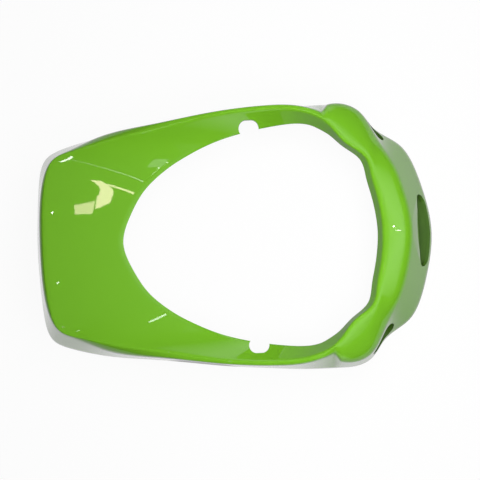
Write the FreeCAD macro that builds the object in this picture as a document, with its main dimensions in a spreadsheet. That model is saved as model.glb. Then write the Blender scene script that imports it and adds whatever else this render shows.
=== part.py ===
import FreeCAD, Part
import Sketcher
import math
import os

from FreeCAD import Placement, Rotation, Vector

NODE = "fairing"

# single sizes, in millimetres and degrees
SIZES = {
    "wall": 2.6,
    "lamp_edge_height": 43.0,
    "crest_round": 4.0,
    "shoulder_round": 6.0,
    "band_bulge": 0.15,
    "notch_place": 18.0,
    "notch_length": 18.5,
    "notch_width": 14.0,
    "notch_reach": 106.5,
    "port_place_x": 130.0,
    "port_place_y": 96.5,
    "port_height": 17.5,
    "port_turn": 40.0,
    "port_length": 34.0,
    "port_width": 24.0,
    "port_collar": 12.0,
    "window_length": 68.0,
    "window_width": 18.0,
    "window_height": 13.0,
    "flat_top": 47.0,
    "flat_inset": 24.4,
    "flat_lean": 20.0,
    "shelf_depth": 22.0,
    "shelf_length": 84.0,
    "boss_radius": 4.5,
    "boss_hole_radius": 1.6,
    "boss_hole_depth": 14.0,
    "boss_foot": 22.0,
    "boss_middle_x": 11.0,
    "boss_spacing_x": 272.0,
    "boss_spacing_y": 60.0,
}

# what each station round the lamp opening states: its place on the lamp edge, the way out and up to
# the crest, the way out to the rim, the share of that way which the shoulder takes, and its drop
FIELDS = ("edge_x", "edge_y", "run_x", "run_y", "rise", "skirt_x", "skirt_y", "ledge", "drop")

# one half of the ring, from the middle of the forehead to the middle of the chin
STATIONS = {
    "forehead": (-101.9, 0.0, -71.5, 0.0, 14.0, -14.0, 0.0, 0.28, 4.0),
    "brow": (-94.4, 24.5, -77.8, 11.5, 14.0, -13.7, 2.5, 0.28, 4.0),
    "brow_side": (-86.4, 39.0, -83.0, 19.0, 14.5, -14.3, 6.0, 0.28, 4.0),
    "corner": (-75.9, 52.0, -85.5, 25.5, 15.0, -15.0, 8.5, 0.3, 4.0),
    "corner_side": (-62.9, 63.0, -82.0, 24.0, 15.5, -15.0, 9.0, 0.32, 4.0),
    "temple": (-42.9, 75.5, -70.0, 20.3, 16.0, -11.0, 8.2, 0.37, 4.0),
    "cheek": (-16.9, 87.5, -50.0, 16.1, 17.0, -5.0, 6.9, 0.45, 4.5),
    "flank": (13.1, 96.0, -30.0, 14.6, 18.0, -1.0, 7.4, 0.48, 4.5),
    "rail": (43.1, 101.0, -10.0, 13.3, 18.0, 0.0, 8.7, 0.42, 4.5),
    "rail_bend": (62.0, 102.2, -3.5, 10.6, 18.0, 2.5, 12.2, 0.38, 5.5),
    "rail_end": (75.0, 100.0, 2.5, 7.2, 18.0, 3.5, 18.2, 0.38, 7.5),
    "ear_start": (83.0, 96.0, 5.5, 4.8, 17.5, 7.0, 24.6, 0.66, 14.0),
    "ear": (92.0, 90.0, 4.0, 2.5, 16.5, 13.6, 32.0, 0.78, 20.0),
    "ear_end": (103.1, 79.5, 2.5, 1.5, 15.0, 18.5, 37.0, 0.8, 24.0),
    "pinch": (119.3, 65.5, 2.0, 0.5, 12.5, 15.3, 36.0, 0.74, 22.0),
    "neck": (123.6, 49.5, 2.0, 0.4, 12.5, 24.5, 41.6, 0.6, 16.0),
    "collar": (126.8, 35.5, 2.0, 0.2, 13.0, 35.8, 44.3, 0.53, 9.0),
    "jaw": (130.3, 17.0, 1.8, 0.2, 13.0, 48.5, 24.8, 0.52, 7.0),
    "chin": (131.6, 0.0, 1.6, 0.0, 13.0, 54.2, 0.0, 0.515, 6.0),
}

# the most of a leg that a rounding takes, and how far into the wall the inner pieces reach
MOST_ROUNDED = 0.4
BITE = 0.6
UP = Vector(0, 0, 1)


def fill_sheet(doc):
    """Puts every size into the sheet under its own name."""
    sheet = doc.addObject("Spreadsheet::Sheet", "sizes")
    cells = dict(SIZES)
    for station, values in STATIONS.items():
        for field, value in zip(FIELDS, values):
            cells[f"{station}_{field}"] = value
    for row, (name, value) in enumerate(cells.items(), start=1):
        sheet.set(f"A{row}", name)
        sheet.set(f"B{row}", str(value))
        sheet.setAlias(f"B{row}", name)
    doc.recompute()
    return sheet


def toward(start, end, length):
    """The point this far from start on the way to end, at most the share a rounding takes."""
    way = end - start
    return start + way * min(MOST_ROUNDED, length / way.Length)


def section(sheet, station):
    """The control points across one station, from the lamp edge over the crest to the rim."""
    size = {field: sheet.get(f"{station}_{field}") for field in FIELDS}
    edge = Vector(size["edge_x"], size["edge_y"], sheet.lamp_edge_height)
    crest = edge + Vector(size["run_x"], size["run_y"], size["rise"])
    skirt = Vector(size["skirt_x"], size["skirt_y"], 0)
    rim = crest + skirt
    rim.z = 0
    shoulder = crest + skirt * size["ledge"] - UP * size["drop"]
    band = (crest + shoulder) / 2 + UP * (size["drop"] * sheet.band_bulge)
    foot = toward(crest, edge, sheet.crest_round)
    heel = toward(shoulder, rim, sheet.shoulder_round)
    return [edge, foot, crest, band, shoulder, heel, rim]


def ring(sheet):
    """The sections all the way round: one half, then its mirror image."""
    half = [section(sheet, station) for station in STATIONS]
    back = [[Vector(p.x, -p.y, p.z) for p in points] for points in half[-2:0:-1]]
    return half + back


def lining(points):
    """The four points of a section that its inner side follows: its ends and its two corners."""
    edge, foot, crest, band, shoulder, heel, rim = points
    return [edge, rounded(foot, crest, band), rounded(band, shoulder, heel), rim]


def rounded(before, corner, after):
    """About where a curve passes a corner of its control points."""
    return (before + corner * 4 + after) / 6


def leg_normals(points, before, after):
    """The outward normal of each leg of a section, seen between its two neighbours."""
    normals = []
    for j in range(len(points) - 1):
        along = (after[j] + after[j + 1]) - (before[j] + before[j + 1])
        normals.append(along.cross(points[j + 1] - points[j]).normalize())
    return normals


def inner_ring(sections, wall):
    """The same sections moved inward by the wall, with the last point kept on the ground."""
    inner = []
    for i, points in enumerate(sections):
        normals = leg_normals(points, sections[i - 1], sections[(i + 1) % len(sections)])
        pairs = zip([normals[0]] + normals, normals + [normals[-1]])
        moved = [p - (a + b) * (wall / (1 + a.dot(b))) for p, (a, b) in zip(points, pairs)]
        slope = moved[-2] - moved[-1]
        moved[-1] -= slope * (moved[-1].z / slope.z)
        inner.append(moved)
    return inner


def ring_parameters(sections):
    """Shared places of the stations on their curves, from the mean way between them."""
    places = [0.0]
    for points, after in zip(sections, sections[1:] + sections[:1]):
        ways = [(b - a).Length for a, b in zip(points, after)]
        places.append(places[-1] + sum(ways) / len(ways))
    return places


def guide(points, parameters):
    """A smooth closed curve through one point of every station."""
    curve = Part.BSplineCurve()
    curve.interpolate(Points=points, PeriodicFlag=True, Parameters=parameters)
    return curve


def skin(sections, parameters, degree):
    """A closed freeform surface over the sections, smooth round and of this degree across."""
    guides = [guide(list(row), parameters) for row in zip(*sections)]
    poles = [list(station) for station in zip(*(g.getPoles() for g in guides))]
    spans = len(guides) - degree
    surface = Part.BSplineSurface()
    surface.buildFromPolesMultsKnots(
        poles,
        guides[0].getMultiplicities(),
        [degree + 1] + [1] * (spans - 1) + [degree + 1],
        guides[0].getKnots(),
        [float(i) for i in range(spans + 1)],
        True,
        False,
        guides[0].Degree,
        degree,
    )
    return surface


def outer_skins(sections, parameters):
    """The outer side in three skins, each with the strips of its spans: funnel, rounded band, wall."""
    funnel = skin([points[:2] for points in sections], parameters, 1)
    band = skin([points[1:-1] for points in sections], parameters, 2)
    wall = skin([points[-2:] for points in sections], parameters, 1)
    return [(funnel, [4]), (band, [5, 3, 4]), (wall, [5])]


def bands(surface, strips, low, high):
    """The faces of one side of a skin, every span across it parted into its strips."""
    faces = []
    for span, count in enumerate(strips):
        for i in range(count):
            strip = surface.copy()
            strip.segment(low, high, span + i / count, span + (i + 1) / count)
            faces.append(strip.toShape())
    return faces


def border(surface, last, low, high):
    """The first or last edge of one side of a skin."""
    knots = surface.getVKnots()
    strip = surface.copy()
    strip.segment(low, high, knots[0], knots[-1])
    return strip.vIso(knots[-1] if last else knots[0]).toShape()


def halves(parameters):
    """The two sides of the ring, each by its first and last place."""
    middle = parameters[len(parameters) // 2]
    return (parameters[0], middle), (middle, parameters[-1])


def closed_border(surface, last, parameters):
    """The first or last edge of a skin, all the way round."""
    return Part.Wire([border(surface, last, *half) for half in halves(parameters)])


def sewn(faces):
    """The solid that these faces close."""
    shell = Part.makeShell(faces)
    shell.sewShape()
    solid = Part.makeSolid(shell)
    if solid.Volume < 0:
        solid.reverse()
    return solid


def moulding(outer, inner, parameters):
    """The thin-walled solid between two sides, closed at the lamp edge and at the rim."""
    faces = []
    for half in halves(parameters):
        for surface, strips in outer + [inner]:
            faces += bands(surface, strips, *half)
        lips = [border(surface, False, *half) for surface in (outer[0][0], inner[0])]
        faces.append(Part.makeRuledSurface(*lips))
    rims = [closed_border(surface, True, parameters) for surface in (outer[-1][0], inner[0])]
    faces.append(Part.makeFace(rims, "Part::FaceMakerBullseye"))
    return sewn(faces)


def core(sections, inset, parameters):
    """The room behind the face and a little of the wall, which trims the inner pieces."""
    rows = [points[:1] + moved for points, moved in zip(sections, inset)]
    surface = skin(rows, parameters, 1)
    faces = [Part.Face(closed_border(surface, last, parameters)) for last in (False, True)]
    for half in halves(parameters):
        faces += bands(surface, [1] * len(inset[0]), *half)
    return sewn(faces)


def feature(doc, name, shape):
    """A document object that holds a shape no feature makes."""
    obj = doc.addObject("Part::Feature", name)
    obj.Shape = shape
    return obj


def slot_tool(doc, name, size, margin, depth, place):
    """A bar with round ends, its outline in a sketch bound to the sheet and wider by a margin."""
    sheet = doc.sizes
    reach = (sheet.get(f"{size}_length") - sheet.get(f"{size}_width")) / 2
    radius = sheet.get(f"{size}_width") / 2
    sketch = doc.addObject("Sketcher::SketchObject", f"{name}_outline")
    right = Part.Circle(Vector(reach, 0, 0), UP, radius)
    left = Part.Circle(Vector(-reach, 0, 0), UP, radius)
    sketch.addGeometry(Part.LineSegment(Vector(-reach, radius, 0), Vector(reach, radius, 0)))
    sketch.addGeometry(Part.ArcOfCircle(right, -math.pi / 2, math.pi / 2))
    sketch.addGeometry(Part.LineSegment(Vector(reach, -radius, 0), Vector(-reach, -radius, 0)))
    sketch.addGeometry(Part.ArcOfCircle(left, math.pi / 2, 3 * math.pi / 2))
    joins = ((0, 2, 1, 2), (1, 1, 2, 1), (2, 2, 3, 2), (3, 1, 0, 1))
    for join in joins:
        sketch.addConstraint(Sketcher.Constraint("Tangent", *join))
    sketch.addConstraint(Sketcher.Constraint("Symmetric", 1, 3, 3, 3, -1, 1))
    sketch.addConstraint(Sketcher.Constraint("PointOnObject", 1, 3, -1))
    span = sketch.addConstraint(Sketcher.Constraint("DistanceX", 3, 3, 1, 3, 2 * reach))
    round_end = sketch.addConstraint(Sketcher.Constraint("Radius", 1, radius))
    sketch.setExpression(f"Constraints[{span}]", f"sizes.{size}_length - sizes.{size}_width")
    sketch.setExpression(f"Constraints[{round_end}]", f"sizes.{size}_width / 2 + {margin}")
    sketch.Placement = place
    bar = doc.addObject("Part::Extrusion", name)
    bar.Base = sketch
    bar.DirMode = "Normal"
    bar.Solid = True
    bar.setExpression("LengthFwd", depth)
    return bar


def facing(direction, foot):
    """A place whose sketch plane looks along a level direction, with its long side level."""
    return Placement(foot, Rotation(UP.cross(direction), UP, direction, "ZYX"))


def lamp_notches(doc):
    """The round-ended notches in the lamp edge, one on each side."""
    sheet = doc.sizes
    away = sheet.notch_reach - sheet.notch_width / 2
    depth = "sizes.lamp_edge_height"
    tools = []
    for i, side in enumerate((1, -1)):
        place = Placement(Vector(sheet.notch_place, side * away, sheet.lamp_edge_height / 2), Rotation())
        tools.append(slot_tool(doc, f"notch_{i}", "notch", "0", depth, place))
    return tools


def neck_ports(doc):
    """The long round-ended ports in the neck, each square to its wall, and the collars behind them."""
    sheet = doc.sizes
    collars, ports = [], []
    for i, side in enumerate((1, -1)):
        turn = math.radians(side * sheet.port_turn)
        out = Vector(math.cos(turn), math.sin(turn), 0)
        middle = Vector(sheet.port_place_x, side * sheet.port_place_y, sheet.port_height)
        seat = facing(out, middle - out * sheet.port_collar)
        collar_depth = "sizes.port_collar + sizes.port_width"
        collars.append(slot_tool(doc, f"collar_{i}", "port", "sizes.wall", collar_depth, seat))
        place = facing(out, middle - out * sheet.port_width)
        ports.append(slot_tool(doc, f"port_{i}", "port", "0", "2 * sizes.port_width", place))
    return collars, ports


def chin_window(doc):
    """The long window in the chin collar."""
    sheet = doc.sizes
    back = rim_end(sheet) - sheet.window_length / 2
    place = facing(Vector(1, 0, 0), Vector(back, 0, sheet.window_height))
    return slot_tool(doc, "window", "window", "0", "sizes.window_length", place)


def rim_end(sheet):
    """How far the rim reaches at the middle of the chin."""
    return sheet.chin_edge_x + sheet.chin_run_x + sheet.chin_skirt_x


def chin_shelf(doc):
    """The return flange at the foot of the chin, which closes the view through the window."""
    sheet = doc.sizes
    foot = Vector(rim_end(sheet) - sheet.shelf_depth, -sheet.shelf_length / 2, 0)
    sides = ("sizes.shelf_depth", "sizes.shelf_length", "sizes.wall")
    return box(doc, "shelf", sides, Placement(foot, Rotation()))


def chin_flat(doc):
    """The leaning flat over the window: the plate that backs it, and the room in front of it."""
    sheet = doc.sizes
    lean = Rotation(Vector(0, 1, 0), -sheet.flat_lean)
    top = Vector(rim_end(sheet) - sheet.flat_inset, 0, sheet.flat_top)
    down = (sheet.flat_top - sheet.window_height) / math.cos(math.radians(sheet.flat_lean))
    back = lean.multVec(Vector(-sheet.wall, -sheet.shelf_length / 2, -down))
    front = lean.multVec(Vector(0, -sheet.shelf_length / 2, -down))
    sides = ("sizes.shelf_length", "sizes.flat_top")
    plate = box(doc, "flat_plate", ("sizes.wall",) + sides, Placement(top + back, lean))
    room = box(doc, "flat_room", ("sizes.flat_inset",) + sides, Placement(top + front, lean))
    return plate, room


def box(doc, name, sides, place):
    """A box with its three sides bound to the sheet."""
    body = doc.addObject("Part::Box", name)
    for side, rule in zip(("Length", "Width", "Height"), sides):
        body.setExpression(side, rule)
    body.Placement = place
    return body


def cylinder(doc, name, radius, height, foot):
    """A standing cylinder bound to the sheet."""
    body = doc.addObject("Part::Cylinder", name)
    body.setExpression("Radius", f"sizes.{radius}")
    body.setExpression("Height", f"sizes.{height}")
    body.Placement.Base = foot
    return body


def lamp_bosses(doc):
    """Four screw bosses behind the face, and the holes that go into them from the rear."""
    sheet = doc.sizes
    bosses, holes = [], []
    for end in (-1, 1):
        for side in (-1, 1):
            x = sheet.boss_middle_x + end * sheet.boss_spacing_x / 2
            y = side * sheet.boss_spacing_y / 2
            foot = Vector(x, y, sheet.boss_foot)
            number = len(bosses)
            bosses.append(cylinder(doc, f"boss_{number}", "boss_radius", "lamp_edge_height", foot))
            holes.append(cylinder(doc, f"hole_{number}", "boss_hole_radius", "boss_hole_depth", foot))
    return bosses, holes


def joined(doc, name, parts):
    """One shape of several."""
    union = doc.addObject("Part::MultiFuse", name)
    union.Shapes = parts
    return union


def build(doc):
    """The whole part as one object of the document."""
    sheet = fill_sheet(doc)
    sections = ring(sheet)
    parameters = ring_parameters(sections)
    lined = [lining(points) for points in sections]
    outer = outer_skins(sections, parameters)
    inner = (skin(inner_ring(lined, sheet.wall), parameters, 1), [5, 3, 5])
    bare = feature(doc, "bare_moulding", moulding(outer, inner, parameters))
    inset = inner_ring(lined, sheet.wall * (1 - BITE))
    room = feature(doc, "core", core(sections, inset, parameters))
    bosses, holes = lamp_bosses(doc)
    collars, ports = neck_ports(doc)
    plate, flat = chin_flat(doc)
    trimmed = doc.addObject("Part::Common", "inner_pieces")
    trimmed.Base = joined(doc, "untrimmed", bosses + collars + [plate, chin_shelf(doc)])
    trimmed.Tool = room
    part = doc.addObject("Part::Cut", NODE)
    part.Base = joined(doc, "solid_parts", [bare, trimmed])
    part.Tool = joined(doc, "cuts", lamp_notches(doc) + ports + holes + [chin_window(doc), flat])
    part.Label = NODE
    doc.recompute()
    return part


def check(doc):
    """Stops the build if any object failed or has no sound shape."""
    for obj in doc.Objects:
        if "Invalid" in obj.State or "Error" in obj.State:
            raise RuntimeError(f"{obj.Name} failed: {obj.State}")
        if hasattr(obj, "Shape") and (obj.Shape.isNull() or not obj.Shape.isValid()):
            raise RuntimeError(f"{obj.Name} has no sound shape")


document = FreeCAD.newDocument("fairing")
whole = build(document)
check(document)
os.makedirs("parts", exist_ok=True)
whole.Shape.exportStep(f"parts/{NODE}.step")
print(NODE, "solids", len(whole.Shape.Solids), "volume", round(whole.Shape.Volume), whole.Shape.BoundBox)
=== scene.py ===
import math

import bpy
import numpy as np
from mathutils import Matrix, Vector


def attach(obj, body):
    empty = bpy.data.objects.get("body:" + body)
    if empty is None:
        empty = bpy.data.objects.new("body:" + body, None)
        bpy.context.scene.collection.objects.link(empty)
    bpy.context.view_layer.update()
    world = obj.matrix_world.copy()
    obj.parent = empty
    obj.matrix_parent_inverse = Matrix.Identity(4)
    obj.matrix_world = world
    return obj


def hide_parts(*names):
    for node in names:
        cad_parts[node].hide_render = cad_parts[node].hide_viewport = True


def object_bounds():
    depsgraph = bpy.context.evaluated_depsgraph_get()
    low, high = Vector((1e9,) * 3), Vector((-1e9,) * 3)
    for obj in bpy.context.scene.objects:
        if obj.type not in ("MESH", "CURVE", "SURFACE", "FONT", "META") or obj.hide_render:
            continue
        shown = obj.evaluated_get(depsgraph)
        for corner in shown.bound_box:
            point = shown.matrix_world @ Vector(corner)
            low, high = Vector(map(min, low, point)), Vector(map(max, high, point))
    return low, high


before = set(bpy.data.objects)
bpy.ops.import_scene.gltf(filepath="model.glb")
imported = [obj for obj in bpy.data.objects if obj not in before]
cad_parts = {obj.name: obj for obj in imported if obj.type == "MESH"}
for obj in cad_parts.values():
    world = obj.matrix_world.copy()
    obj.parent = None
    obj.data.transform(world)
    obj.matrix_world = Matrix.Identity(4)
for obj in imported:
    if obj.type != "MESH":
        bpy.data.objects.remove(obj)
CAD_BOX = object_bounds()
NODE = "fairing"
MM = 0.001
INSIDE = 1
FLOOR_GAP = 0.0005

# half the picture and the camera's focal length, both in pixels
PICTURE_HALF = 240
FOCAL_LENGTH = 1315

bl_info = {
    "name": "Motorcycle Front Fairing",
    "version": (1, 0, 0),
    "blender": (4, 5, 0),
    "location": "3D View > Sidebar > Fairing",
    "description": "Models a gloss front fairing and sets it on a pale studio floor",
    "category": "Add Mesh",
}

# what each station round the lamp opening states, in millimetres: its place on the lamp edge, the way
# out and up to the crest, the way out to the rim, the share of that way to the shoulder, and its drop
STATIONS = {
    "forehead": (-101.9, 0.0, -71.5, 0.0, 14.0, -14.0, 0.0, 0.28, 4.0),
    "brow": (-94.4, 24.5, -77.8, 11.5, 14.0, -13.7, 2.5, 0.28, 4.0),
    "brow_side": (-86.4, 39.0, -83.0, 19.0, 14.5, -14.3, 6.0, 0.2, 3.5),
    "corner": (-75.9, 52.0, -85.5, 25.5, 15.0, -15.0, 8.5, 0.08, 3.0),
    "corner_side": (-62.9, 63.0, -82.0, 21.5, 15.5, -15.0, 10.6, 0.16, 5.0),
    "temple": (-42.9, 75.5, -70.0, 17.2, 16.0, -11.0, 11.4, 0.5, 8.5),
    "cheek": (-16.9, 87.5, -50.0, 13.6, 17.0, -5.0, 9.4, 0.6, 3.2),
    "flank": (13.1, 96.0, -30.0, 14.6, 18.0, -1.0, 7.4, 0.52, 1.6),
    "rail": (43.1, 101.0, -10.0, 13.3, 18.0, 0.0, 8.7, 0.48, 1.6),
    "rail_bend": (62.0, 102.2, -3.5, 10.6, 18.0, 2.5, 12.2, 0.38, 5.5),
    "rail_end": (75.0, 100.0, 2.5, 7.2, 18.0, 3.5, 18.2, 0.38, 7.5),
    "ear_start": (83.0, 96.0, 5.5, 4.8, 17.5, 7.0, 24.6, 0.7, 10.0),
    "ear": (92.0, 90.0, 4.0, 2.5, 16.5, 13.6, 32.0, 0.8, 14.0),
    "ear_end": (103.1, 79.5, 2.5, 1.5, 15.0, 18.5, 37.0, 0.82, 17.0),
    "pinch": (119.3, 65.5, 4.5, 1.5, 12.5, 12.8, 35.0, 0.72, 16.0),
    "neck": (123.6, 49.5, 4.8, 1.0, 12.5, 21.7, 41.0, 0.58, 12.0),
    "collar": (126.8, 35.5, 4.8, 0.6, 13.0, 33.0, 43.9, 0.51, 9.0),
    "jaw": (130.3, 17.0, 4.6, 0.4, 13.0, 45.7, 24.6, 0.49, 7.0),
    "chin": (131.6, 0.0, 4.4, 0.0, 13.0, 51.4, 0.0, 0.488, 6.0),
}
LAMP_EDGE_HEIGHT = 43.0
CREST_ROUND = 4.0
SHOULDER_ROUND = 6.0
BAND_BULGE = 0.15
MOST_ROUNDED = 0.4
CORNER_PULL = 4

# shoulders, as share and drop, that hold up to the crease where the ear begins
BEFORE_CREASE = {
    "rail_bend": (0.38, 1.8),
    "rail_end": (0.29, 2.2),
    "ear_start": (0.22, 5.0),
    "ear": (0.22, 5.0),
}

# quads between two stations, across the funnel, crest, band, shoulder and wall, and in each inner leg
COLUMNS = 12
FUNNEL_ROWS = 12
CREST_ROWS = 10
BAND_ROWS = 6
SHOULDER_ROWS = 8
WALL_ROWS = 10
INNER_ROWS = 8

# sides of the round bars, steps and least angle of the rounded edges, least angle of a shaded edge, and
# how near two points count as one
SLOT_SIDES = 48
POST_SIDES = 32
EDGE_STEPS = 2
EDGE_ANGLE = math.radians(50)
SMOOTH_ANGLE = math.radians(35)
SAME_PLACE = 1e-7

# noise in the paints, as scale and detail
CLOUDS = (14.0, 3.0)
PEEL = (420.0, 2.0)
PATCHES = (30.0, 5.0)
GRAIN = (900.0, 3.0)
# bumps, as strength and depth in metres
PEEL_BUMP = (0.005, 0.0004)
GRAIN_BUMP = (0.2, 0.0003)
# least and most roughness of each paint, its shine, and the clear coat
LIME_ROUGHNESS = (0.28, 0.38)
INSIDE_ROUGHNESS = (0.45, 0.65)
LIME_SHINE = 0.08
INSIDE_SHINE = 0.3
COAT_ROUGHNESS = 0.012
COAT_IOR = 1.5

# sides of the soft lights, and how far the broad one is above the camera's distance, in metres
TOP_LIGHT_SIZE = (1.2, 1.2)
TOP_LIGHT_GAP = 0.3
KEY_LIGHT_SIZE = (0.3, 0.3)

# bright things on the ceiling that the gloss mirrors: place, length and width in metres, turn in
# degrees, and glow
WARM_PANELS = {
    "window_pane": (0.1175, -0.024, 0.060, 0.028, 22, 15),
    "window_corner": (0.124, 0.020, 0.042, 0.022, -55, 11),
    "window_edge": (0.138, -0.060, 0.062, 0.010, -34, 14),
}
PANELS = {
    "tube": (0.055, -0.260, 0.320, 0.005, 48, 7),
    "side_tube": (-0.0575, -0.350, 0.370, 0.009, 81, 20),
    "side_pane": (0.195, -0.400, 0.160, 0.050, 100, 2),
    "side_strip": (0.210, -0.430, 0.107, 0.012, 66, 14),
    "side_spot": (0.200, -0.294, 0.040, 0.016, 66, 12),
    "far_pane": (0.177, 0.545, 0.166, 0.014, -71, 12),
    "bulb_left": (0.080, 0.080, 0.005, 0.005, 0, 30),
    "bulb_near": (-0.020, 0.250, 0.008, 0.008, 0, 30),
    "bulb_far": (-0.070, 0.611, 0.014, 0.014, 0, 30),
    "bulb_chin": (0.800, 0.112, 0.060, 0.016, 0, 50),
    "dash_chin": (0.950, 0.065, 0.200, 0.012, 0, 20),
}
# a low pale wall on each side that the rails mirror: place, length and height in metres, and glow
SIDE_WALL = (0.30, 1.0, 0.12, 0.90, 0.70, 1.7)
# the soft glow that the chin mirrors: place, full length and width, and glow
CHIN_GLOW = (1.05, 0.0, 1.5, 2.4, 1.75)
# panels in a fading glow, and the way from the first to the last
GLOW_STEPS = 8
GLOW_DEPTH = 0.016
WARM = (1.0, 0.72, 0.6)
PLAIN = (1.0, 1.0, 1.0)


class FairingSizes(bpy.types.PropertyGroup):
    """Sizes of the moulding, in metres."""

    wall: bpy.props.FloatProperty(
        name="Wall", description="Thickness of the shell", default=0.0026, unit="LENGTH")
    bite: bpy.props.FloatProperty(
        name="Bite", description="How far under the surface inner pieces end", default=0.001, unit="LENGTH")
    edge_round: bpy.props.FloatProperty(
        name="Edge Round", description="Width of the rounding on lip and rim", default=0.0006,
        unit="LENGTH")
    crease_place: bpy.props.FloatProperty(
        name="Crease Place", description="Where along the fairing the ear begins", default=0.0885,
        unit="LENGTH")
    crease_width: bpy.props.FloatProperty(
        name="Crease Width", description="Way over which the ear begins", default=0.006, unit="LENGTH")
    notch_place: bpy.props.FloatProperty(
        name="Notch Place", description="How far the notches stand from the middle", default=0.018,
        unit="LENGTH")
    notch_length: bpy.props.FloatProperty(
        name="Notch Length", description="Length of a notch along the edge", default=0.0185, unit="LENGTH")
    notch_width: bpy.props.FloatProperty(
        name="Notch Width", description="Width of a notch", default=0.014, unit="LENGTH")
    notch_reach: bpy.props.FloatProperty(
        name="Notch Reach", description="How far the notches reach to each side", default=0.1065,
        unit="LENGTH")
    port_place: bpy.props.FloatVectorProperty(
        name="Port Place", description="Middle of one neck port", default=(0.130, 0.0965, 0.0175),
        subtype="XYZ")
    port_turn: bpy.props.FloatProperty(
        name="Port Turn", description="Heading of the port", default=math.radians(40), subtype="ANGLE")
    port_length: bpy.props.FloatProperty(
        name="Port Length", description="Level length of a port", default=0.034, unit="LENGTH")
    port_width: bpy.props.FloatProperty(
        name="Port Width", description="Height of a port", default=0.024, unit="LENGTH")
    port_collar: bpy.props.FloatProperty(
        name="Port Collar", description="How far the collar reaches inward", default=0.012, unit="LENGTH")
    window_length: bpy.props.FloatProperty(
        name="Window Length", description="Length of the chin window", default=0.068, unit="LENGTH")
    window_width: bpy.props.FloatProperty(
        name="Window Width", description="Height of the chin window", default=0.018, unit="LENGTH")
    window_height: bpy.props.FloatProperty(
        name="Window Height", description="Height of the window's middle", default=0.013, unit="LENGTH")
    flat_top: bpy.props.FloatProperty(
        name="Flat Top", description="Height at which the chin flat begins", default=0.047, unit="LENGTH")
    flat_inset: bpy.props.FloatProperty(
        name="Flat Inset", description="How far the flat's top stands behind the rim", default=0.0244,
        unit="LENGTH")
    flat_lean: bpy.props.FloatProperty(
        name="Flat Lean", description="Lean of the chin flat", default=math.radians(20), subtype="ANGLE")
    shelf_depth: bpy.props.FloatProperty(
        name="Shelf Depth", description="How far the shelf under the window reaches in", default=0.022,
        unit="LENGTH")
    shelf_length: bpy.props.FloatProperty(
        name="Shelf Length", description="Length of the shelf", default=0.084, unit="LENGTH")
    boss_radius: bpy.props.FloatProperty(
        name="Boss Radius", description="Radius of a screw boss", default=0.0045, unit="LENGTH")
    boss_hole_radius: bpy.props.FloatProperty(
        name="Boss Hole", description="Radius of the hole in a boss", default=0.0016, unit="LENGTH")
    boss_hole_depth: bpy.props.FloatProperty(
        name="Boss Hole Depth", description="Depth of the hole in a boss", default=0.014, unit="LENGTH")
    boss_foot: bpy.props.FloatProperty(
        name="Boss Foot", description="Height at which the bosses end", default=0.022, unit="LENGTH")
    boss_middle: bpy.props.FloatProperty(
        name="Boss Middle", description="Middle of the bosses along the fairing", default=0.011,
        unit="LENGTH")
    boss_spacing: bpy.props.FloatVectorProperty(
        name="Boss Spacing", description="Way between the bosses", default=(0.272, 0.060), size=2)


class FairingPaint(bpy.types.PropertyGroup):
    """Colours of the paint."""

    lime: bpy.props.FloatVectorProperty(
        name="Lime", description="Main colour", default=(0.17, 0.46, 0.017), size=3, subtype="COLOR")
    deep_lime: bpy.props.FloatVectorProperty(
        name="Deep Lime", description="Colour of the slightly darker clouds", default=(0.155, 0.435, 0.015),
        size=3, subtype="COLOR")
    # the inner side's colours: partly the real thin spray, partly painted shade, made dark so that the
    # shelf behind the chin window, the port collars and the cut faces look shaded
    bare_and_shade_green: bpy.props.FloatVectorProperty(
        name="Bare Green", description="Colour of the bare inner side", default=(0.030, 0.085, 0.006),
        size=3, subtype="COLOR")
    spray_and_shade_green: bpy.props.FloatVectorProperty(
        name="Thin Spray", description="Colour of the spray on the inner side",
        default=(0.060, 0.150, 0.010), size=3, subtype="COLOR")
    gloss: bpy.props.FloatProperty(
        name="Gloss", description="Weight of the clear coat", default=1.0, min=0, max=1, subtype="FACTOR")


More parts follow.
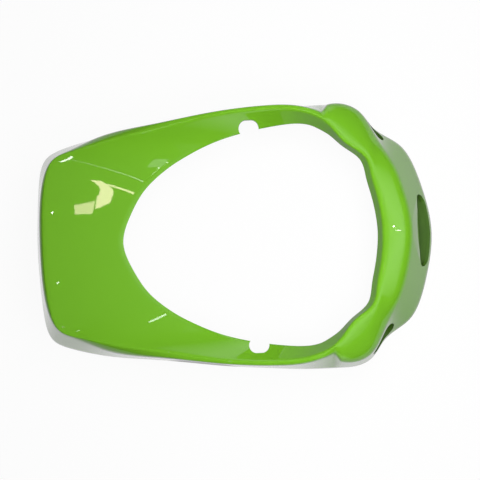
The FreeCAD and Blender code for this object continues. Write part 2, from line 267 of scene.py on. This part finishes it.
class FairingStage(bpy.types.PropertyGroup):
    """Camera and light."""

    aim_x: bpy.props.FloatProperty(
        name="Aim", description="Where the camera looks, along the fairing", default=0.0051, unit="LENGTH")
    distance: bpy.props.FloatProperty(
        name="Distance", description="From the camera to the floor", default=1.25, unit="LENGTH")
    lean: bpy.props.FloatProperty(
        name="Lean", description="How far the camera stands off the upright", default=0.061)
    roll: bpy.props.FloatProperty(
        name="Roll", description="Turn of the picture", default=math.radians(2.8), subtype="ANGLE")
    view_angle: bpy.props.FloatProperty(
        name="View Angle", description="Field of view", default=2 * math.atan(PICTURE_HALF / FOCAL_LENGTH),
        subtype="ANGLE")
    floor_size: bpy.props.FloatProperty(
        name="Floor Size", description="Side of the pale floor", default=8.0, unit="LENGTH")
    floor_white: bpy.props.FloatProperty(
        name="Floor White", description="Share of plain white in what the camera sees", default=0.94,
        subtype="FACTOR")
    floor_mirror: bpy.props.FloatProperty(
        name="Floor Mirror", description="Brightness of the floor in the gloss", default=0.8)
    floor_bounce: bpy.props.FloatProperty(
        name="Floor Bounce", description="How much light the floor throws back", default=0.12,
        subtype="FACTOR")
    floor_paint: bpy.props.FloatProperty(
        name="Floor Paint", description="How pale the camera sees the floor's shade", default=0.8,
        subtype="FACTOR")
    floor_reach: bpy.props.FloatProperty(
        name="Floor Reach", description="How many times the shade's size the pale floor reaches",
        default=5.0)
    # the dim patch is a painted shadow of the fairing on the floor, seen in the gloss only
    shade_mirror: bpy.props.FloatProperty(
        name="Shade Mirror", description="Brightness in the gloss of the dim patch under the fairing",
        default=0.42)
    shade_size: bpy.props.FloatVectorProperty(
        name="Shade Size", description="Half sizes of the dim patch under the fairing",
        default=(0.18, 0.12), size=2)
    sky: bpy.props.FloatProperty(
        name="Sky", description="Even light from all round", default=0.08)
    room: bpy.props.FloatProperty(
        name="Room", description="Brightness of the room in the gloss", default=0.06)
    ceiling: bpy.props.FloatProperty(
        name="Ceiling", description="Height of the bright panels", default=1.2, unit="LENGTH")
    top_power: bpy.props.FloatProperty(
        name="Top Light", description="Power of the broad light overhead", default=7.0, unit="POWER")
    key_place: bpy.props.FloatVectorProperty(
        name="Key Place", description="Place of one of the two near lights", default=(0.14, 0.18, 0.45),
        subtype="XYZ")
    key_power: bpy.props.FloatProperty(
        name="Key Light", description="Power of each near light", default=1.3, unit="POWER")


def toward(start, end, length):
    """The point this far from start on the way to end, at most the share a rounding takes."""
    way = end - start
    return start + way * min(MOST_ROUNDED, length / np.linalg.norm(way))


def section(values):
    """Seven control points across one station, from the lamp edge over the crest to the rim."""
    edge_x, edge_y, run_x, run_y, rise, skirt_x, skirt_y, ledge, drop = values
    up = np.array((0, 0, 1.0))
    edge = np.array((edge_x, edge_y, LAMP_EDGE_HEIGHT))
    crest = edge + np.array((run_x, run_y, rise))
    skirt = np.array((skirt_x, skirt_y, 0.0))
    rim = (crest + skirt) * np.array((1, 1, 0))
    shoulder = crest + skirt * ledge - up * drop
    band = (crest + shoulder) / 2 + up * (drop * BAND_BULGE)
    foot = toward(crest, edge, CREST_ROUND)
    heel = toward(shoulder, rim, SHOULDER_ROUND)
    return [edge, foot, crest, band, shoulder, heel, rim]


def ring(shoulders):
    """The sections all the way round, some with another shoulder: stations by points, in metres."""
    half = [section(values[:-2] + shoulders.get(name, values[-2:])) for name, values in STATIONS.items()]
    half = np.array(half)
    back = half[-2:0:-1] * np.array((1, -1, 1))
    return np.concatenate((half, back)) * MM


def station_places(sections):
    """Shared places of the stations on their curves, from the mean way between them."""
    ways = np.linalg.norm(np.roll(sections, -1, axis=0) - sections, axis=2).mean(axis=1)
    return np.concatenate(((0.0,), np.cumsum(ways)))


def closed_spline(points, places, columns):
    """Points on the smooth closed curve through the stations, with this many steps to each span."""
    count = len(points)
    step = np.diff(places)
    slope = (np.roll(points, -1, axis=0) - points) / step[:, None]
    system = np.zeros((count, count))
    for i in range(count):
        system[i, i - 1] += step[i - 1]
        system[i, i] += 2 * (step[i - 1] + step[i])
        system[i, (i + 1) % count] += step[i]
    bend = np.linalg.solve(system, 6 * (slope - np.roll(slope, 1, axis=0)))
    share = np.arange(columns)[None, :, None] / columns
    near, far = points[:, None, :], np.roll(points, -1, axis=0)[:, None, :]
    bend_near, bend_far = bend[:, None, :], np.roll(bend, -1, axis=0)[:, None, :]
    square = (step ** 2 / 6)[:, None, None]
    curve = near * (1 - share) + far * share
    bow = ((1 - share) ** 3 - (1 - share)) * bend_near + (share ** 3 - share) * bend_far
    return (curve + square * bow).reshape(-1, 3)


def arc(start, corner, end, shares):
    """Points of the quadratic curve from start to end that leans on a corner."""
    t = shares[:, None, None]
    return start * (1 - t) ** 2 + corner * (2 * t * (1 - t)) + end * t ** 2


def surface(sections, places):
    """The rows of points over these sections, from the lamp edge to the rim."""
    guides = [closed_spline(sections[:, i], places, COLUMNS) for i in range(sections.shape[1])]
    edge, foot, crest, band, shoulder, heel, rim = guides
    upper, lower = (crest + band) / 2, (band + shoulder) / 2
    funnel = steps(FUNNEL_ROWS)[:, None, None]
    wall = np.append(steps(WALL_ROWS), 1.0)[:, None, None]
    return np.concatenate((
        edge * (1 - funnel) + foot * funnel,
        arc(foot, crest, upper, steps(CREST_ROWS)),
        arc(upper, band, lower, steps(BAND_ROWS)),
        arc(lower, shoulder, heel, steps(SHOULDER_ROWS)),
        heel * (1 - wall) + rim * wall,
    ))


def steps(count):
    """Even shares from nought up to just short of one."""
    return np.arange(count) / count


def crease_share(rows, size):
    """For every point, how far it is past the crease that begins the ear, from nought to one."""
    share = np.clip((rows[..., :1] - size.crease_place) / size.crease_width + 0.5, 0, 1)
    return share * share * (3 - 2 * share)


def leaning(start, corner, end):
    """A point between start and end that is drawn most of the way to their corner."""
    return (start + corner * CORNER_PULL + end) / (CORNER_PULL + 2)


def lining(sections):
    """The four points of each section that its inner side follows: its ends and its two corners."""
    edge, foot, crest, band, shoulder, heel, rim = np.swapaxes(sections, 0, 1)
    corners = leaning(foot, crest, band), leaning(band, shoulder, heel)
    return np.stack((edge, *corners, rim), axis=1)


def inner_sections(sections, wall):
    """The lining moved inward by the wall, with its last point kept on the ground."""
    lined = lining(sections)
    along = np.roll(lined, -1, axis=0) - np.roll(lined, 1, axis=0)
    normals = np.cross(along[:, :-1] + along[:, 1:], lined[:, 1:] - lined[:, :-1])
    normals /= np.linalg.norm(normals, axis=2, keepdims=True)
    before = np.concatenate((normals[:, :1], normals), axis=1)
    after = np.concatenate((normals, normals[:, -1:]), axis=1)
    mitre = wall / (1 + (before * after).sum(axis=2, keepdims=True))
    moved = lined - (before + after) * mitre
    slope = moved[:, -2] - moved[:, -1]
    moved[:, -1] -= slope * (moved[:, -1, 2:] / slope[:, 2:])
    return moved


def inner_surface(sections, places, wall):
    """The rows of points of the inner side, from the lamp edge to the rim."""
    inner = inner_sections(sections, wall)
    guides = [closed_spline(inner[:, i], places, COLUMNS) for i in range(inner.shape[1])]
    share = steps(INNER_ROWS)[:, None, None]
    legs = [start * (1 - share) + end * share for start, end in zip(guides, guides[1:])]
    return np.concatenate((*legs, guides[-1][None]))


def creased(rail, ear, size):
    """Two sets of rows as one, with a short step from the rail to the ear."""
    share = crease_share(ear, size)
    return rail * (1 - share) + ear * share


def skins(size):
    """The outer and the inner side as rows of points."""
    rings = ring(BEFORE_CREASE), ring({})
    places = station_places(rings[1])
    outer = [surface(sections, places) for sections in rings]
    inner = [inner_surface(sections, places, size.wall) for sections in rings]
    return creased(*outer, size), creased(*inner, size)


def deselect():
    """Leaves nothing selected."""
    bpy.ops.object.select_all(action="DESELECT")


def active(obj):
    """Makes one object the only selected and active one."""
    deselect()
    obj.select_set(True)
    bpy.context.view_layer.objects.active = obj


def edit_all(obj):
    """Opens an object's mesh with everything selected."""
    active(obj)
    bpy.ops.object.mode_set(mode="EDIT")
    bpy.ops.mesh.select_all(action="SELECT")


def close_edit():
    """Leaves edit mode."""
    bpy.ops.object.mode_set(mode="OBJECT")


def grid_sheet(name, rows, closed):
    """A ring of quads over rows of points, from a grid that is wrapped round, or round both ways."""
    across, around = rows.shape[0], rows.shape[1]
    bands = across if closed else across - 1
    deselect()
    bpy.ops.mesh.primitive_grid_add(x_subdivisions=around, y_subdivisions=bands, size=1)
    sheet = bpy.context.object
    sheet.name = name
    for vertex in sheet.data.vertices:
        column = round((vertex.co.x + 0.5) * around) % around
        row = round((vertex.co.y + 0.5) * bands) % across
        vertex.co = rows[row, column]
    return sheet


def wrapped(sheet):
    """A sheet with its meeting edges merged and its faces turned outwards."""
    edit_all(sheet)
    bpy.ops.mesh.remove_doubles(threshold=SAME_PLACE)
    bpy.ops.mesh.normals_make_consistent(inside=False)
    close_edit()
    return sheet


def painted(obj, paints, faces, coat):
    """Gives an object both paints, and these faces of it one of them."""
    for paint in paints:
        obj.data.materials.append(paint)
    for index in faces:
        obj.data.polygons[index].material_index = coat
    return obj


def painted_inside_and_shade(obj, paints):
    """Gives all of an object the dull dark paint of the inner side, which also paints the shade in the
    recesses and cut openings.
    """
    return painted(obj, paints, range(len(obj.data.polygons)), INSIDE)


def apply(obj, name, kind, **settings):
    """Adds a modifier with these settings and applies it."""
    modifier = obj.modifiers.new(name, kind)
    for key, value in settings.items():
        setattr(modifier, key, value)
    active(obj)
    bpy.ops.object.modifier_apply(modifier=modifier.name)


def slot_bar(name, length, width, depth, place):
    """A bar with round ends: a disc parted in two halves, then pulled up to its depth."""
    deselect()
    bpy.ops.mesh.primitive_circle_add(vertices=SLOT_SIDES, radius=width / 2, fill_type="NGON")
    bar = bpy.context.object
    bar.name = name
    reach = (length - width) / 2
    for vertex in bar.data.vertices:
        vertex.co.x += math.copysign(reach, vertex.co.x)
    edit_all(bar)
    bpy.ops.mesh.extrude_region_move(TRANSFORM_OT_translate={"value": (0, 0, depth)})
    bpy.ops.mesh.select_all(action="SELECT")
    bpy.ops.mesh.normals_make_consistent(inside=False)
    close_edit()
    bar.data.transform(place)
    return bar


def facing(direction, foot):
    """A place whose base looks along a level direction, with its long side level."""
    up = Vector((0, 0, 1))
    turn = Matrix((up.cross(direction), up, direction)).transposed()
    return Matrix.Translation(foot) @ turn.to_4x4()


def block(name, low, high, place):
    """A box between two corners, brought to its place."""
    deselect()
    bpy.ops.mesh.primitive_cube_add(size=1)
    box = bpy.context.object
    box.name = name
    low, high = Vector(low), Vector(high)
    sides = Matrix.Diagonal((*(high - low), 1))
    box.data.transform(place @ Matrix.Translation((low + high) / 2) @ sides)
    return box


def post(name, radius, foot, height):
    """A standing round bar."""
    deselect()
    bpy.ops.mesh.primitive_cylinder_add(vertices=POST_SIDES, radius=radius, depth=height)
    bar = bpy.context.object
    bar.name = name
    bar.data.transform(Matrix.Translation(foot + Vector((0, 0, height / 2))))
    return bar


def joined(pieces):
    """One object of several that stay apart."""
    active(pieces[0])
    for piece in pieces[1:]:
        piece.select_set(True)
    bpy.ops.object.join()
    return pieces[0]


def combine(body, operation, tool):
    """Joins, cuts or trims a body with a tool, and removes the tool."""
    apply(body, operation.lower(), "BOOLEAN", operation=operation, solver="EXACT", object=tool)
    bpy.data.objects.remove(tool)


def core_of(outer, depth):
    """The filled outer side, drawn into the wall, which trims the inner pieces."""
    core = wrapped(grid_sheet("core", outer, False))
    edit_all(core)
    bpy.ops.mesh.fill_holes(sides=0)
    bpy.ops.mesh.select_all(action="SELECT")
    bpy.ops.mesh.normals_make_consistent(inside=False)
    close_edit()
    apply(core, "inset", "DISPLACE", strength=-depth, mid_level=0)
    return core


def moulding(outer, inner, size, paints):
    """The thin wall between the two sides, each with its paint, with its lip and rim rounded."""
    shell = grid_sheet("fairing_shell", np.concatenate((outer, inner[::-1])), True)
    around = outer.shape[1]
    inside = range(len(outer) * around, (len(outer) + len(inner) - 1) * around)
    wrapped(painted(shell, paints, inside, INSIDE))
    apply(shell, "edges", "BEVEL", width=size.edge_round, segments=EDGE_STEPS, limit_method="ANGLE",
          angle_limit=EDGE_ANGLE)
    return shell


def port_bars(size):
    """For each side, the collar of a neck port and the bar that opens it."""
    collars, bars = [], []
    for side in (1, -1):
        out = Vector((math.cos(size.port_turn), side * math.sin(size.port_turn), 0))
        middle = Vector(size.port_place) * Vector((1, side, 1))
        seat = facing(out, middle - out * size.port_collar)
        length, width = size.port_length + 2 * size.wall, size.port_width + 2 * size.wall
        collars.append(slot_bar("collar", length, width, size.port_collar + size.port_width, seat))
        place = facing(out, middle - out * size.port_width)
        bars.append(slot_bar("port", size.port_length, size.port_width, 2 * size.port_width, place))
    return collars, bars


def chin_flat(size):
    """The plate behind the leaning flat over the window, and the room in front of it."""
    top = Vector((CAD_BOX[1][0] - size.flat_inset, 0, size.flat_top))
    place = Matrix.Translation(top) @ Matrix.Rotation(-size.flat_lean, 4, "Y")
    half = size.shelf_length / 2
    low = (size.window_height - size.flat_top) / math.cos(size.flat_lean)
    high = low + size.flat_top
    plate = block("flat_plate", (-size.wall, -half, low), (size.wall, half, high), place)
    room = block("flat_room", (0, -half, low), (size.flat_inset, half, high), place)
    return plate, room


def chin_shelf(size):
    """The shelf at the foot of the chin window."""
    end, half, ground = CAD_BOX[1][0], size.shelf_length / 2, CAD_BOX[0][2]
    low = (end - size.shelf_depth, -half, ground)
    return block("shelf", low, (end, half, ground + size.wall), Matrix())


def chin_window(size):
    """The bar that opens the chin window."""
    back = CAD_BOX[1][0] - size.window_length / 2
    place = facing(Vector((1, 0, 0)), Vector((back, 0, size.window_height)))
    return slot_bar("window", size.window_length, size.window_width, size.window_length, place)


def lamp_notches(size):
    """The bars that cut the notches into the lamp edge."""
    edge = LAMP_EDGE_HEIGHT * MM
    bars = []
    for side in (1, -1):
        away = side * (size.notch_reach - size.notch_width / 2)
        place = Matrix.Translation((size.notch_place, away, edge / 2))
        bars.append(slot_bar("notch", size.notch_length, size.notch_width, edge, place))
    return bars


def lamp_bosses(size):
    """Four screw bosses behind the face, and the posts that bore them from the rear."""
    bosses, holes = [], []
    for end in (-1, 1):
        for side in (-1, 1):
            across, along = side * size.boss_spacing[1] / 2, end * size.boss_spacing[0] / 2
            foot = Vector((size.boss_middle + along, across, size.boss_foot))
            bosses.append(post("boss", size.boss_radius, foot, LAMP_EDGE_HEIGHT * MM))
            below = foot - Vector((0, 0, size.boss_hole_depth))
            holes.append(post("hole", size.boss_hole_radius, below, 2 * size.boss_hole_depth))
    return bosses, holes


def node_of(tree, kind, **values):
    """A new shader node with these socket values."""
    node = tree.nodes.new(kind)
    for key, value in values.items():
        node.inputs[key.replace("_", " ")].default_value = value
    return node


def noise_of(tree, place, scale, detail):
    """An even noise on the object's own places."""
    noise = node_of(tree, "ShaderNodeTexNoise", Scale=scale, Detail=detail)
    tree.links.new(place.outputs["Object"], noise.inputs["Vector"])
    return noise.outputs["Fac"]


def tinted(tree, share, low, high):
    """A colour that goes from low to high with a share."""
    tint = tree.nodes.new("ShaderNodeMix")
    tint.data_type = "RGBA"
    tint.inputs["A"].default_value = (*low, 1)
    tint.inputs["B"].default_value = (*high, 1)
    tree.links.new(share, tint.inputs["Factor"])
    return tint.outputs["Result"]


def spread(tree, share, low, high):
    """A number that goes from low to high with a share."""
    scale = node_of(tree, "ShaderNodeMapRange", To_Min=low, To_Max=high)
    tree.links.new(share, scale.inputs["Value"])
    return scale.outputs["Result"]


def paint_base(name):
    """A new paint: its material, node tree, shader and object places."""
    material = bpy.data.materials.new(name)
    material.use_nodes = True
    tree = material.node_tree
    return material, tree, tree.nodes["Principled BSDF"], tree.nodes.new("ShaderNodeTexCoord")


def rough_skin(tree, height, strength, depth):
    """A bump from a height."""
    bump = node_of(tree, "ShaderNodeBump", Strength=strength, Distance=depth)
    tree.links.new(height, bump.inputs["Height"])
    return bump.outputs["Normal"]


def lime_paint(paint):
    """Gloss lime paint under clear coat: faint clouds of colour and a fine orange peel."""
    material, tree, shader, place = paint_base("lime_paint")
    clouds = noise_of(tree, place, *CLOUDS)
    peel = rough_skin(tree, noise_of(tree, place, *PEEL), *PEEL_BUMP)
    links = tree.links
    links.new(tinted(tree, clouds, paint.deep_lime, paint.lime), shader.inputs["Base Color"])
    links.new(spread(tree, clouds, *LIME_ROUGHNESS), shader.inputs["Roughness"])
    links.new(peel, shader.inputs["Normal"])
    links.new(peel, shader.inputs["Coat Normal"])
    shader.inputs["Specular IOR Level"].default_value = LIME_SHINE
    shader.inputs["Coat Weight"].default_value = paint.gloss
    shader.inputs["Coat Roughness"].default_value = COAT_ROUGHNESS
    shader.inputs["Coat IOR"].default_value = COAT_IOR
    return material


def inside_and_shade_paint(paint):
    """Thin dull spray on the bare inner side, patchy and grained, made dark green as painted shade for the
    recesses and openings it is put in.
    """
    material, tree, shader, place = paint_base("inside_and_shade_paint")
    patches = noise_of(tree, place, *PATCHES)
    grain = rough_skin(tree, noise_of(tree, place, *GRAIN), *GRAIN_BUMP)
    links = tree.links
    links.new(tinted(tree, patches, paint.bare_and_shade_green, paint.spray_and_shade_green), shader.inputs["Base Color"])
    links.new(spread(tree, patches, *INSIDE_ROUGHNESS), shader.inputs["Roughness"])
    links.new(grain, shader.inputs["Normal"])
    shader.inputs["Specular IOR Level"].default_value = INSIDE_SHINE
    return material


class FAIRING_OT_shell(bpy.types.Operator):
    """Models the moulded shell with its openings and paints it"""

    bl_idname = "fairing.shell"
    bl_label = "Fairing Shell"

    def execute(self, context):
        size = context.scene.fairing_sizes
        paint = context.scene.fairing_paint
        paints = lime_paint(paint), inside_and_shade_paint(paint)
        outer, inner = skins(size)
        shell = moulding(outer, inner, size, paints)
        core = core_of(outer, size.bite)
        collars, ports = port_bars(size)
        bosses, holes = lamp_bosses(size)
        plate, flat = chin_flat(size)
        # the plate, shelf, collars and bosses take the dark inner paint, which paints the shade on the
        # shelf seen through the chin window and inside the ports
        pieces = painted_inside_and_shade(joined([plate, chin_shelf(size)] + collars + bosses), paints)
        combine(pieces, "INTERSECT", core)
        combine(shell, "UNION", pieces)
        combine(shell, "DIFFERENCE", flat)
        # the cut faces of the window, ports and holes take the dark inner paint as painted shade
        combine(shell, "DIFFERENCE", painted_inside_and_shade(joined([chin_window(size)] + ports + holes), paints))
        combine(shell, "DIFFERENCE", joined(lamp_notches(size)))
        active(shell)
        bpy.ops.object.shade_smooth_by_angle(angle=SMOOTH_ANGLE)
        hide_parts(NODE)
        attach(shell, "root")
        return {"FINISHED"}


def mixed(tree, factor, first, second):
    """A mix of two shaders by a factor."""
    mix = tree.nodes.new("ShaderNodeMixShader")
    tree.links.new(factor, mix.inputs[0])
    tree.links.new(first.outputs[0], mix.inputs[1])
    tree.links.new(second.outputs[0], mix.inputs[2])
    return mix


def reckoned(tree, operation, value, *others):
    """The outcome of a sum over a value and fixed numbers."""
    maths = tree.nodes.new("ShaderNodeMath")
    maths.operation = operation
    tree.links.new(value, maths.inputs[0])
    for socket, other in zip(maths.inputs[1:], others):
        socket.default_value = other
    return maths.outputs[0]


def floor_glow(tree, stage):
    """The floor in the gloss: a painted shadow of the fairing as a dim patch under it, pale round it, and
    dark far off.
    """
    place = tree.nodes.new("ShaderNodeTexCoord")
    sides = node_of(tree, "ShaderNodeMapping", Scale=(1 / stage.shade_size[0], 1 / stage.shade_size[1], 0))
    length = tree.nodes.new("ShaderNodeVectorMath")
    length.operation = "LENGTH"
    tree.links.new(place.outputs["Object"], sides.inputs["Vector"])
    tree.links.new(sides.outputs["Vector"], length.inputs[0])
    way = length.outputs["Value"]
    near = spread(tree, reckoned(tree, "GREATER_THAN", way, 1.0), stage.shade_mirror, stage.floor_mirror)
    glow = tree.nodes.new("ShaderNodeMix")
    glow.inputs["B"].default_value = stage.room
    tree.links.new(reckoned(tree, "GREATER_THAN", way, stage.floor_reach), glow.inputs["Factor"])
    tree.links.new(near, glow.inputs["A"])
    return glow.outputs["Result"]


def white_floor(stage):
    """Floor paint that the camera sees as white and the gloss as pale, with the shadow left on it."""
    material = bpy.data.materials.new("white_floor")
    material.use_nodes = True
    tree = material.node_tree
    tree.nodes.clear()
    output = tree.nodes.new("ShaderNodeOutputMaterial")
    path = tree.nodes.new("ShaderNodeLightPath")
    camera_ray = path.outputs["Is Camera Ray"]
    matt = tree.nodes.new("ShaderNodeBsdfDiffuse")
    paler = stage.floor_paint - stage.floor_bounce
    shade = reckoned(tree, "MULTIPLY_ADD", camera_ray, paler, stage.floor_bounce)
    tree.links.new(shade, matt.inputs["Color"])
    white = node_of(tree, "ShaderNodeEmission", Strength=1.0)
    pale = tree.nodes.new("ShaderNodeEmission")
    tree.links.new(floor_glow(tree, stage), pale.inputs["Strength"])
    seen = mixed(tree, reckoned(tree, "MULTIPLY", camera_ray, stage.floor_white), matt, white)
    mirrored = mixed(tree, path.outputs["Is Glossy Ray"], seen, pale)
    tree.links.new(mirrored.outputs[0], output.inputs["Surface"])
    return material


def area_light(name, place, size, turn, power):
    """A flat light that looks straight down."""
    lamp = bpy.data.lights.new(name, "AREA")
    lamp.shape = "RECTANGLE"
    lamp.size, lamp.size_y = size
    lamp.energy = power
    obj = bpy.data.objects.new(name, lamp)
    bpy.context.scene.collection.objects.link(obj)
    obj.location = place
    obj.rotation_euler.z = turn
    return obj


def soft_lights(stage):
    """The broad light overhead and a near one on each side, none to be seen in the gloss."""
    x, y, height = stage.key_place
    overhead = (0, 0, stage.distance + TOP_LIGHT_GAP)
    lamps = [area_light("top", overhead, TOP_LIGHT_SIZE, 0, stage.top_power)]
    for side in (1, -1):
        lamps.append(area_light("key", (x, side * y, height), KEY_LIGHT_SIZE, 0, stage.key_power))
    for lamp in lamps:
        lamp.visible_glossy = False


def panel(name, place, size, turn, glow, colour):
    """A bright flat thing, to be seen in the gloss only, whose power follows from its glow and size."""
    lamp = area_light(name, place, size, math.radians(turn), glow * math.pi * size[0] * size[1])
    lamp.data.color = colour
    lamp.visible_diffuse = False
    return lamp


def panels(stage, table, colour):
    """All panels of a table, at the height of the ceiling."""
    for name, (x, y, length, width, turn, glow) in table.items():
        panel(name, (x, y, stage.ceiling), (length, width), turn, glow, colour)


def fading(name, place, away, size, glow):
    """A glow that fades to its border, as panels one behind another."""
    shares = np.arange(1, GLOW_STEPS + 1) / GLOW_STEPS
    places = [Vector(place) + Vector(away) * (share * GLOW_DEPTH) for share in shares]
    sides = [(size[0] * share, size[1] * share) for share in shares]
    return [panel(name, *each, 0, glow / GLOW_STEPS, PLAIN) for each in zip(places, sides)]


def side_walls():
    """A low pale wall on each side, upright, to be seen in the gloss only."""
    x, y, height, length, rise, glow = SIDE_WALL
    for side in (1, -1):
        for wall in fading("side_wall", (x, side * y, height), (0, side, 0), (length, rise), glow):
            wall.rotation_euler.x = -side * math.pi / 2


def chin_glow(stage):
    """A glow over the chin."""
    x, y, length, width, glow = CHIN_GLOW
    fading("chin_glow", (x, y, stage.ceiling), (0, 0, 1), (length, width), glow)


def studio_world(stage):
    """An even pale sky for light, white for the camera and a dim room for what the gloss mirrors."""
    world = bpy.context.scene.world or bpy.data.worlds.new("studio")
    bpy.context.scene.world = world
    world.use_nodes = True
    tree = world.node_tree
    tree.nodes.clear()
    output = tree.nodes.new("ShaderNodeOutputWorld")
    sky = node_of(tree, "ShaderNodeBackground", Color=(1, 1, 1, 1), Strength=stage.sky)
    white = node_of(tree, "ShaderNodeBackground", Color=(1, 1, 1, 1), Strength=1.0)
    room = node_of(tree, "ShaderNodeBackground", Color=(1, 1, 1, 1), Strength=stage.room)
    path = tree.nodes.new("ShaderNodeLightPath")
    seen = mixed(tree, path.outputs["Is Camera Ray"], sky, white)
    mirrored = mixed(tree, path.outputs["Is Glossy Ray"], seen, room)
    tree.links.new(mirrored.outputs[0], output.inputs["Surface"])


def camera(stage):
    """The camera over the fairing, a little off the upright, with the picture's roll."""
    lens = bpy.data.cameras.new("camera")
    lens.angle = stage.view_angle
    obj = bpy.data.objects.new("camera", lens)
    bpy.context.scene.collection.objects.link(obj)
    aim = Vector((stage.aim_x, 0, 0))
    place = aim + Vector((0, -stage.lean, 1)).normalized() * stage.distance
    ahead = (aim - place).normalized()
    level = Vector((1, 0, 0))
    upright = level.cross(ahead)
    right = level * math.cos(stage.roll) - upright * math.sin(stage.roll)
    up = level * math.sin(stage.roll) + upright * math.cos(stage.roll)
    turn = Matrix((right, up, -ahead)).transposed()
    obj.matrix_world = Matrix.Translation(place) @ turn.to_4x4()
    bpy.context.scene.camera = obj


class FAIRING_OT_stage(bpy.types.Operator):
    """Lays the floor and sets the lights, the room and the camera"""

    bl_idname = "fairing.stage"
    bl_label = "Studio Stage"

    def execute(self, context):
        stage = context.scene.fairing_stage
        deselect()
        bpy.ops.mesh.primitive_plane_add(size=stage.floor_size, location=(0, 0, CAD_BOX[0][2] - FLOOR_GAP))
        floor = context.object
        floor.name = "floor"
        floor.data.materials.append(white_floor(stage))
        soft_lights(stage)
        panels(stage, WARM_PANELS, WARM)
        panels(stage, PANELS, PLAIN)
        side_walls()
        chin_glow(stage)
        studio_world(stage)
        camera(stage)
        context.scene.view_settings.view_transform = "Standard"
        return {"FINISHED"}


class VIEW3D_PT_fairing(bpy.types.Panel):
    """Lists the fairing's sizes, colours and steps"""

    bl_label = "Fairing"
    bl_space_type = "VIEW_3D"
    bl_region_type = "UI"
    bl_category = "Fairing"

    def draw(self, context):
        scene = context.scene
        for group in (scene.fairing_sizes, scene.fairing_paint, scene.fairing_stage):
            box = self.layout.box()
            for name in group.__annotations__:
                box.prop(group, name)
        self.layout.operator(FAIRING_OT_shell.bl_idname)
        self.layout.operator(FAIRING_OT_stage.bl_idname)


CLASSES = (FairingSizes, FairingPaint, FairingStage, FAIRING_OT_shell, FAIRING_OT_stage, VIEW3D_PT_fairing)


def register():
    for each in CLASSES:
        bpy.utils.register_class(each)
    bpy.types.Scene.fairing_sizes = bpy.props.PointerProperty(type=FairingSizes)
    bpy.types.Scene.fairing_paint = bpy.props.PointerProperty(type=FairingPaint)
    bpy.types.Scene.fairing_stage = bpy.props.PointerProperty(type=FairingStage)


def unregister():
    del bpy.types.Scene.fairing_stage
    del bpy.types.Scene.fairing_paint
    del bpy.types.Scene.fairing_sizes
    for each in reversed(CLASSES):
        bpy.utils.unregister_class(each)


def main():
    """Builds the fairing and its stage."""
    register()
    bpy.ops.fairing.shell()
    bpy.ops.fairing.stage()


if __name__ == "__main__":
    main()
